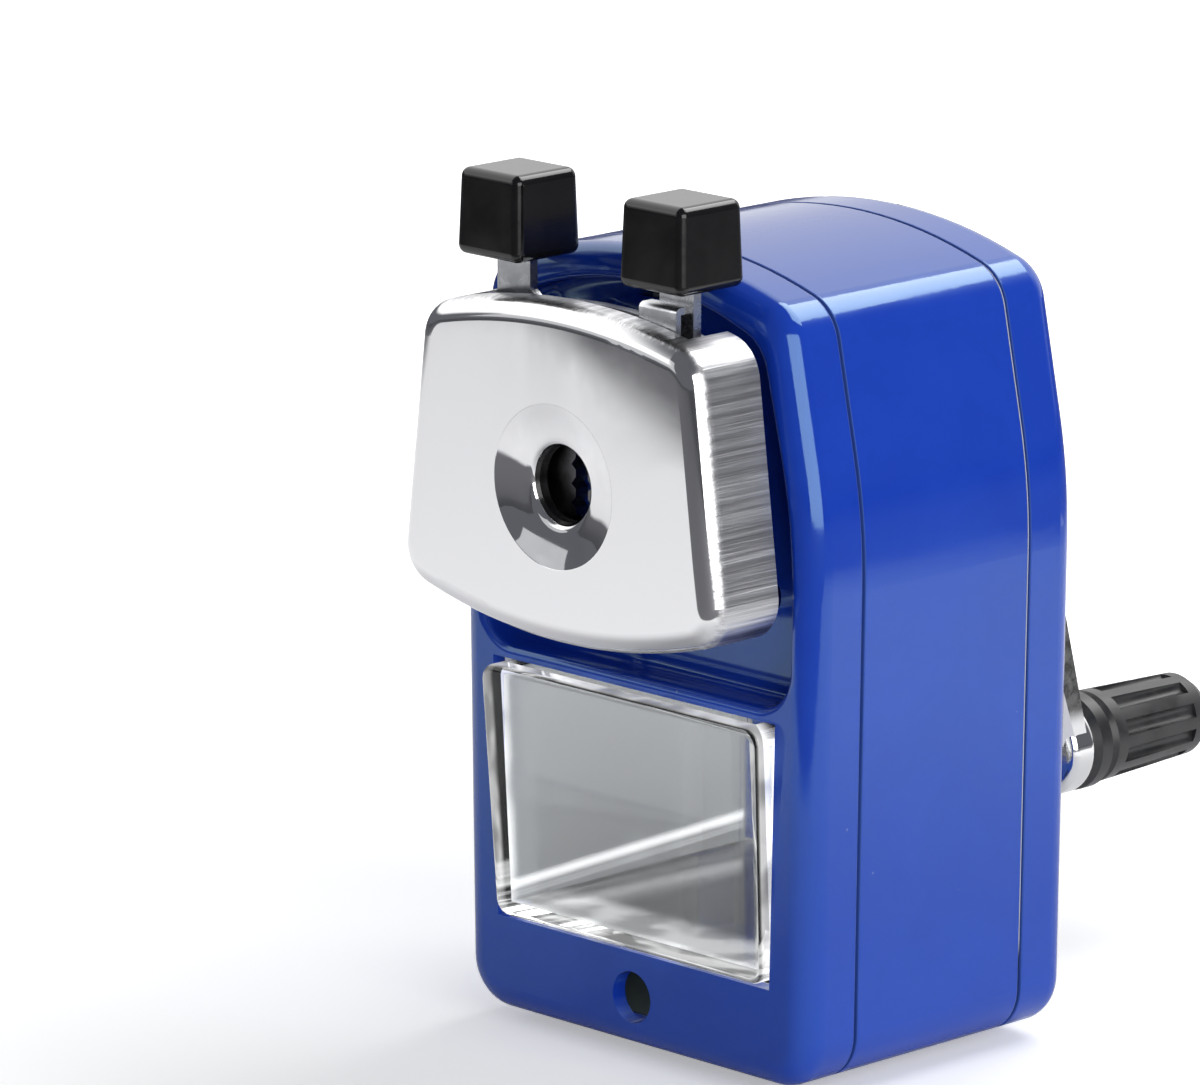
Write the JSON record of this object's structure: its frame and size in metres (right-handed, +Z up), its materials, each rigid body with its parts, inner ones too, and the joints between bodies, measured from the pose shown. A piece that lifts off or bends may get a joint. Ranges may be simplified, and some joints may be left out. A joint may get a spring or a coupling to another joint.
{
  "type": "crank pencil sharpener",
  "caption": "Desk pencil sharpener with painted case, sprung chrome faceplate with pinch levers, clear shavings drawer, hand crank and geared helical cutter cartridge.",
  "frame": {"origin": "centre of the base pad's underside, below the middle of the centre sleeve", "axes": "+Z up, -Y towards the user and out of the pencil hole, +X to the right as seen from the front"},
  "size_m": [0.058, 0.1076, 0.1048],
  "materials": {
    "blue_paint": "glossy royal blue enamel",
    "black_plastic": "black moulded plastic",
    "black_rubber": "matt black",
    "chrome": "bright plate",
    "steel": "zinc-bright",
    "dark_steel": "hardened, dark",
    "zinc": "zinc die casting",
    "brass": "turned",
    "clear_plastic": "clear moulded plastic"
  },
  "bodies": {
    "casing": {"front_cover": "blue_paint", "body_sleeve": "blue_paint", "rear_cover": "blue_paint", "base_pad": "black_rubber", "base_screws": "steel", "case_screws": "steel", "case_pillars": "steel", "front_bush": "black_plastic", "guide_bracket": "steel", "left_feed_spring": "steel", "right_feed_spring": "steel"},
    "drawer_body": {"drawer": "clear_plastic"},
    "faceplate_body": {"faceplate": "chrome", "pencil_bush": "black_plastic", "gripper_backplate": "steel", "left_guide_rod": "chrome", "right_guide_rod": "chrome", "rod_clips": "steel", "top_rail": "chrome", "lever_pivot_pins": "steel", "lever_spring": "steel"},
    "left_lever_body": {"left_lever": "steel", "left_jaw": "dark_steel", "left_knob": "black_plastic"},
    "right_lever_body": {"right_lever": "steel", "right_jaw": "dark_steel", "right_knob": "black_plastic"},
    "cartridge": {"cutter_housing": "black_plastic", "ring_gear": "dark_steel", "shaft_bush": "brass"},
    "crank": {"crank_shaft": "steel", "cutter_carrier": "zinc", "cutter_pin": "steel", "hub_cap": "chrome", "crank_arm": "chrome", "grip_axle": "steel", "grip_collar": "black_plastic"},
    "cutter": {"helical_cutter": "dark_steel", "cutter_pinion": "steel"},
    "grip": {"handle_grip": "black_plastic", "grip_end_plug": "black_plastic"}
  },
  "joints": [
    {"name": "drawer_slide", "type": "slide", "parent": "casing", "child": "drawer_body", "axis": [0, -1, 0], "range_m": [0, 0.05]},
    {"name": "faceplate_slide", "type": "slide", "parent": "casing", "child": "faceplate_body", "axis": [0, -1, 0], "range_m": [0, 0.02], "stiffness_N_per_m": 120, "springref_m": -0.01, "deforming": ["left_feed_spring", "right_feed_spring"]},
    {"name": "left_lever_pinch", "type": "hinge", "parent": "faceplate_body", "child": "left_lever_body", "pos_m": [-0.0095, -0.0273, 0.0829], "axis": [0, 1, 0], "range_deg": [0, 14], "stiffness_Nm_per_rad": 0.06, "springref_deg": -11.46, "deforming": ["lever_spring"]},
    {"name": "right_lever_pinch", "type": "hinge", "parent": "faceplate_body", "child": "right_lever_body", "pos_m": [0.0095, -0.0273, 0.0829], "axis": [0, -1, 0], "range_deg": [0, 14], "stiffness_Nm_per_rad": 0.06, "springref_deg": -11.46, "deforming": ["lever_spring"]},
    {"name": "cartridge_twist", "type": "hinge", "parent": "casing", "child": "cartridge", "pos_m": [0, 0.02, 0.0706], "axis": [0, 1, 0], "range_deg": [0, 30]},
    {"name": "crank_turn", "type": "hinge", "parent": "cartridge", "child": "crank", "pos_m": [0, 0.02, 0.0706], "axis": [0, 1, 0], "continuous": true},
    {"name": "cutter_spin", "type": "hinge", "parent": "crank", "child": "cutter", "pos_m": [0, 0.03586, 0.0706], "axis": [0, 0.9781, -0.2079], "continuous": true},
    {"name": "grip_spin", "type": "hinge", "parent": "crank", "child": "grip", "pos_m": [0, 0.056, 0.0251], "axis": [0, 1, 0], "continuous": true}
  ],
  "couplings": [
    {"joint": "right_lever_pinch", "follows": "left_lever_pinch", "ratio": 1},
    {"joint": "cutter_spin", "follows": "crank_turn", "ratio": -2}
  ]
}
